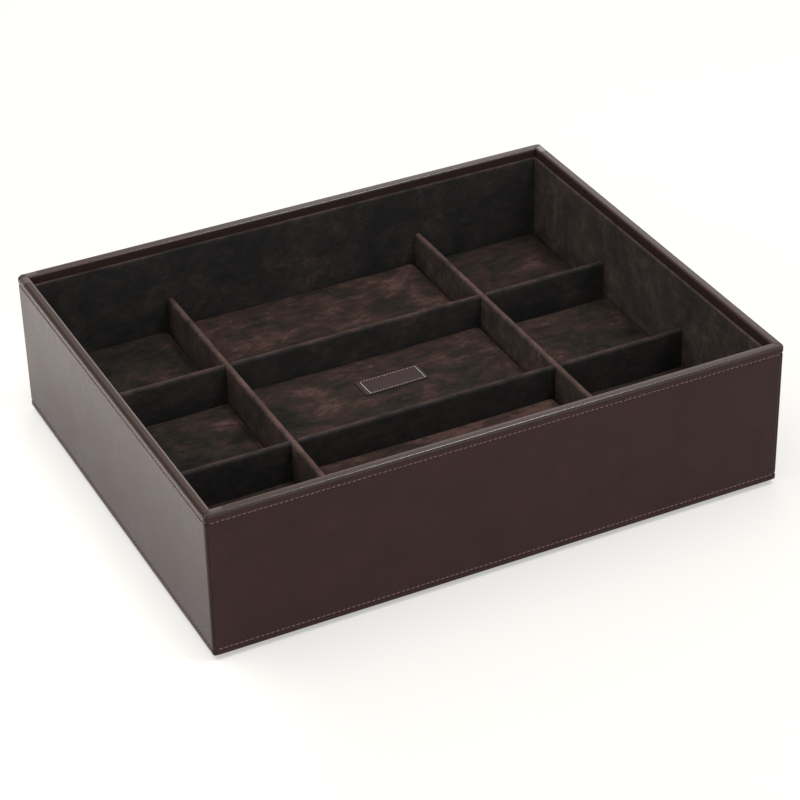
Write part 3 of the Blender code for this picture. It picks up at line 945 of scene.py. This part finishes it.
def roundPoint(x, y, z, halfX, halfY, height):
    # How far inside the plan's edge the point is, and which way the edge faces
    corner = pad["corner"]
    beyondX, beyondY = abs(x) - (halfX - corner), abs(y) - (halfY - corner)
    signX, signY = math.copysign(1, x), math.copysign(1, y)
    if beyondX > 0 and beyondY > 0:
        beyondX, beyondY = squareToRound(beyondX, beyondY)
        x, y = signX * (halfX - corner + beyondX), signY * (halfY - corner + beyondY)
        length = math.hypot(beyondX, beyondY)
        inside = corner - length
        facing = Vector((signX * beyondX, signY * beyondY, 0)) / max(length, 1e-9)
    elif halfX - abs(x) < halfY - abs(y):
        inside, facing = halfX - abs(x), Vector((signX, 0, 0))
    else:
        inside, facing = halfY - abs(y), Vector((0, signY, 0))
    point = Vector((x, y, z))
    for radius, level, sign in ((pad["shoulder"], height - z, -1), (pad["foot"], z, 1)):
        if inside < radius and level < radius:
            inwards, onwards = squareToRound(radius - inside, radius - level)
            point -= facing * ((radius - inwards) - inside)
            point.z += sign * ((radius - onwards) - level)
            break
    # The sides pull in between the corners, and the top is crowned
    shareX, shareY = min(1, abs(x) / halfX), min(1, abs(y) / halfY)
    draw = pad["drawIn"] * (1 - (shareY if abs(facing.x) > 0.9 else shareX) ** 2)
    if inside < pad["shoulder"] and max(abs(facing.x), abs(facing.y)) > 0.9:
        point -= facing * draw
    if z > height / 2:
        power = pad["crownPower"]
        point.z += pad["crown"] * (1 - shareX ** power) * (1 - shareY ** power) * z / height
    # Under the card the hem ends and the velvet form steps up to the bare card
    if z == 0 and min(halfX - abs(x), halfY - abs(y)) > pad["hem"]:
        point.z = pad["recess"]
    return point


def swell(piece):
    # Cloth with pressure inside and its foot held, as velvet pulled over foam
    group = piece.vertex_groups.new(name="foot")
    group.add([v.index for v in piece.data.vertices if v.co.z < pad["held"]], 1, "REPLACE")
    cloth = piece.modifiers.new("swell", "CLOTH")
    for key, value in pad["cloth"].items():
        setattr(cloth.settings, key, value)
    cloth.settings.vertex_group_mass = group.name
    cloth.settings.effector_weights.gravity = 0
    cloth.collision_settings.use_collision = False
    cloth.point_cache.frame_start, cloth.point_cache.frame_end = 1, pad["frames"]
    for number in range(1, pad["frames"] + 1):
        scene.frame_set(number)
    swollen = piece.evaluated_get(bpy.context.evaluated_depsgraph_get())
    points = np.array([tuple(v.co) for v in swollen.data.vertices])
    piece.modifiers.clear()
    piece.vertex_groups.clear()
    scene.frame_set(1)
    return points


def makePad(name, seed):
    low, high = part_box(name + "_pad_cover")
    centre = Vector(((low.x + high.x) / 2, (low.y + high.y) / 2, low.z))
    halfX, halfY, height = high.x - centre.x, high.y - centre.y, high.z - low.z
    points, faces = padForm(halfX - pad["shrink"], halfY - pad["shrink"],
                            height - pad["sink"] - pad["crown"])
    start = np.array([tuple(p) for p in points])
    mesh = bpy.data.meshes.new(name + "_form")
    mesh.from_pydata(start.tolist(), [], faces)
    form = bpy.data.objects.new(name + "_form", mesh)
    scene.collection.objects.link(form)
    swollen = swell(form)
    bpy.data.objects.remove(form)
    bpy.data.meshes.remove(mesh)
    move = swollen - start
    # Foam under the velvet stops it soon: the swelling is capped, softly
    side = np.linalg.norm(move[:, :2], axis=1)
    side = np.where(side > 0, pad["sideCap"] * np.tanh(side / pad["sideCap"]) / (side + 1e-12), 0)
    move[:, :2] *= side[:, None]
    move[:, 2] = pad["topCap"] * np.tanh(move[:, 2] / pad["topCap"])
    move[:, 2] *= np.where(move[:, 2] < 0, pad["sag"], 1)
    final = start + move
    foot = start[:, 2] < pad["held"]
    for axis, half in ((0, halfX), (1, halfY)):
        final[foot, axis] *= 1 + pad["footSpread"] / half
    large, small = pad["dimpleSizes"]
    for number, (x, y, z) in enumerate(final):
        if z > pad["held"]:
            share = min(1, z / height)
            uneven = ripple(x, y, large, seed) + 0.5 * ripple(x, y, small, seed + 3)
            final[number, 2] += pad["dimple"] * share * (uneven - pad["dimpleSink"])
    limit = np.array((halfX, halfY, height)) - pad["margin"]
    final = np.clip(final, (-limit[0], -limit[1], 0), limit)
    material = makeVelvet(name + "_velvet_pile", "padStops", pad["napStretch"], seed, 0,
                          pad["shades"].get(name, 0), pad["napTurn"] * math.sin(seed),
                          pad["brushed"].get(name, ()), high.x)
    piece = addPiece(name + "_pad", final + np.array(centre), faces, material,
                     name + "_pad", 75)
    soften = piece.modifiers.new("soften", "SUBSURF")
    soften.levels = soften.render_levels = 1
    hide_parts(name + "_pad_cover", name + "_pad_foam")
    return piece


pads = {}
for row in ("front", "middle", "rear"):
    for column in ("left", "centre", "right"):
        pads[row, column] = makePad(row + "_" + column, 11 + 3 * len(pads))
print("pads made")


# Bare woven label sewn on the middle pad, a little askew
label = {
    "size": (42.0 * mm, 16.0 * mm),
    "turn": 1.2,              # degrees
    "thickness": 0.45 * mm,
    "lift": 0.12 * mm,
    "spacing": 1 * mm,
    "curl": 0.18 * mm,        # corners that lift a little
    "border": (-18.0 * mm, -7.0 * mm, 19.2 * mm, 7.0 * mm),  # left, front, right, rear
    "thread": {"radius": 0.18 * mm, "crest": 0.10 * mm, "sink": 0.20 * mm,
               "rings": 5, "sides": 6, "ply": 0.1},
    "longPitch": 2.0 * mm,
    "longLength": 0.85 * mm,
    "shortPitch": 0.9 * mm,
    "shortLength": 0.85 * mm,
}


def makeLabel():
    low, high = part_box("centre_label")
    middle = (low + high) / 2
    turn = Matrix.Rotation(math.radians(label["turn"]), 2)
    pieceBelow = pads["middle", "centre"].evaluated_get(bpy.context.evaluated_depsgraph_get())
    surface = BVHTree.FromPolygons([v.co.copy() for v in pieceBelow.data.vertices],
                                   [tuple(p.vertices) for p in pieceBelow.data.polygons])

    def onPad(along, across, height):
        # A point of the label's own plane laid on the pad, that much above it
        x, y = middle.xy + turn @ Vector((along, across))
        return x, y, surface.ray_cast(Vector((x, y, 1)), Vector((0, 0, -1)))[0].z + height

    halfLong, halfShort = label["size"][0] / 2, label["size"][1] / 2
    xs, ys = (np.linspace(-half, half, 2 + int(2 * half / label["spacing"]))
              for half in (halfLong, halfShort))
    under = np.zeros((len(ys), len(xs), 3))
    for i, y in enumerate(ys):
        for j, x in enumerate(xs):
            corner = abs(x) / halfLong * abs(y) / halfShort
            under[i, j] = onPad(x, y, label["lift"] + label["curl"] * corner ** 6)
    over = under + np.array((0, 0, label["thickness"]))
    piece = addSheet("centre_pad_label", over, under, labelCloth, "middle_centre_pad", 60)
    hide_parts("centre_label")

    points, faces = [], []
    left, front, right, rear = label["border"]
    rows = [((left, front), (right, front), "long"), ((left, rear), (right, rear), "long"),
            ((left, front), (left, rear), "short"), ((right, front), (right, rear), "short")]
    for start, end, kind in rows:
        run = Vector(end) - Vector(start)
        count = round(run.length / label[kind + "Pitch"])
        towards = run.normalized()
        shape, shapeFaces = stitchShape(label["thread"], label[kind + "Length"], 0, 0.4)
        for k in range(count):
            spot = Vector(start) + run * (k + 0.5) / count
            faces.extend(tuple(len(points) + f for f in face) for face in shapeFaces)
            for a, b, c in shape:
                points.append(onPad(spot.x + towards.x * a - towards.y * c,
                                    spot.y + towards.y * a + towards.x * c,
                                    label["lift"] + label["thickness"] + b))
    addPiece("label_border_stitches", points, faces, plain["rayonThread"],
             "middle_centre_pad", 60)


makeLabel()
print("label made")


# Floor liner under the pads and felt under the foot
flatSheets = {
    "floor_liner": {"piece": "floor_velvet", "spacing": 4 * mm, "corner": 0.4 * mm,
                    "uneven": 0.12 * mm, "slot": "velvet"},
    "foot_felt": {"piece": "foot_felt_sheet", "spacing": 6 * mm, "corner": 3 * mm,
                  "uneven": 0.10 * mm, "slot": "felt"},
}
unevenSize = 14 * mm


def makeFlatSheet(node, material, seed):
    spec = flatSheets[node]
    low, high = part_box(node)
    corner = spec["corner"]
    lines = []
    for half in (high.x, high.y):
        inner = half - corner
        middle = np.linspace(-inner, inner, 2 + int(2 * inner / spec["spacing"]))
        edge = [half - corner * share for share in (0, 0.3, 0.6)]
        lines.append(np.concatenate([[-e for e in edge], middle, edge[::-1]]))
    xs, ys = lines
    over = np.zeros((len(ys), len(xs), 3))
    under = np.zeros_like(over)
    for i, y in enumerate(ys):
        for j, x in enumerate(xs):
            beyondX, beyondY = abs(x) - (high.x - corner), abs(y) - (high.y - corner)
            placeX, placeY = x, y
            if beyondX > 0 and beyondY > 0:
                beyondX, beyondY = squareToRound(beyondX, beyondY)
                placeX = math.copysign(high.x - corner + beyondX, x)
                placeY = math.copysign(high.y - corner + beyondY, y)
            sink = spec["uneven"] * (0.5 + 0.5 * ripple(x, y, unevenSize, seed))
            over[i, j] = (placeX, placeY, high.z - (sink if node == "floor_liner" else 0))
            under[i, j] = (placeX, placeY, low.z + (sink if node == "foot_felt" else 0))
    piece = addSheet(spec["piece"], over, under, material, "tray", 60)
    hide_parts(node)


makeFlatSheet("floor_liner", velvetFloor, 81)
makeFlatSheet("foot_felt", plain["needleFelt"], 82)
print("floor liner and foot felt made")


# CAD nodes that stay: boards and cards get their own materials
for name, node in nodes.items():
    kept = None
    if name == "foot_board":
        kept = plain["blackFootPaper"]
    elif name.endswith("_board"):
        kept = plain["sandedFibreboard"]
    elif name.endswith("_card"):
        kept = plain["greyBoard"]
    if kept:
        node.data.materials.clear()
        node.data.materials.append(kept)
print("materials given to the boards and cards")


# White floor that keeps the shadow, and plain soft studio light
stage = {
    "size": 12,
    "floorColour": "#c9c6c0",
    "glow": 0.42,             # what the shadows need to stay soft
    "glowColour": "#ffffff",
    "worldColour": "#ffffff",
    "worldLight": 0.70,
}
lamps = {
    "keySoftbox": {"place": (-0.75, 0.30, 1.95), "aim": (0, 0, 0.05), "size": (1.2, 1.0),
                   "power": 7},
    "rearSoftbox": {"place": (1.20, 1.9, 1.25), "aim": (0, 0, 0.05), "size": (1.0, 0.6),
                    "power": 2.5},
    # placed where the rounded edges that face front or right mirror it to the camera
    "edgeSoftbox": {"place": (0.77, -0.45, 1.93), "aim": (0, 0, 0.05), "size": (0.7, 0.32),
                    "power": 13},
    # low over the strip of floor beside the box, which its left face mirrors
    "leftWash": {"place": (-0.39, 0.05, 0.17), "aim": (-0.39, 0.05, 0), "size": (0.28, 0.60),
                 "power": 1.6, "spread": 75},
}


def seenDirectly(tree):
    # 1 for rays from the camera, off gloss and through glass, which all see the white studio
    rays = addNode(tree, "ShaderNodeLightPath").outputs
    mirrored = calculate(tree, "MAXIMUM", rays["Is Glossy Ray"], rays["Is Transmission Ray"])
    return calculate(tree, "MAXIMUM", rays["Is Camera Ray"], mirrored)


def makeStage():
    mesh = bpy.data.meshes.new("studioFloor")
    half = stage["size"] / 2
    mesh.from_pydata([(-half, -half, 0), (half, -half, 0), (half, half, 0), (-half, half, 0)],
                     [], [(0, 1, 2, 3)])
    floor = bpy.data.objects.new("studioFloor", mesh)
    scene.collection.objects.link(floor)
    material = bpy.data.materials.new("whitePaperFloor")
    material.use_nodes = True
    tree = material.node_tree
    tree.nodes.clear()
    glow = calculate(tree, "MULTIPLY", seenDirectly(tree), stage["glow"])
    paper = addNode(tree, "ShaderNodeBsdfDiffuse", {"Color": toLinear(stage["floorColour"])})
    light = addNode(tree, "ShaderNodeEmission", {"Color": toLinear(stage["glowColour"])},
                    {"Strength": glow})
    both = addNode(tree, "ShaderNodeAddShader", (), {0: paper.outputs["BSDF"],
                                                     1: light.outputs["Emission"]})
    addNode(tree, "ShaderNodeOutputMaterial", (), {"Surface": both.outputs["Shader"]})
    mesh.materials.append(material)

    world = bpy.data.worlds.new("studioWorld")
    scene.world = world
    world.use_nodes = True
    tree = world.node_tree
    tree.nodes.clear()
    strength = remap(tree, seenDirectly(tree), 0, 1, stage["worldLight"], 1)
    sky = addNode(tree, "ShaderNodeBackground", {"Color": toLinear(stage["worldColour"])},
                  {"Strength": strength})
    addNode(tree, "ShaderNodeOutputWorld", (), {"Surface": sky.outputs["Background"]})


def makeLamps():
    for name, spec in lamps.items():
        data = bpy.data.lights.new(name, "AREA")
        data.shape = "RECTANGLE"
        data.size, data.size_y = spec["size"]
        data.energy = spec["power"]
        data.spread = math.radians(spec.get("spread", 180))
        lamp = bpy.data.objects.new(name, data)
        lamp.location = spec["place"]
        aim = Vector(spec["aim"]) - Vector(spec["place"])
        lamp.rotation_mode = "QUATERNION"
        lamp.rotation_quaternion = aim.to_track_quat("-Z", "Y")
        lamp.visible_camera = False
        scene.collection.objects.link(lamp)


makeStage()
makeLamps()
scene.view_settings.view_transform = "Standard"
print("stage and lamps set")
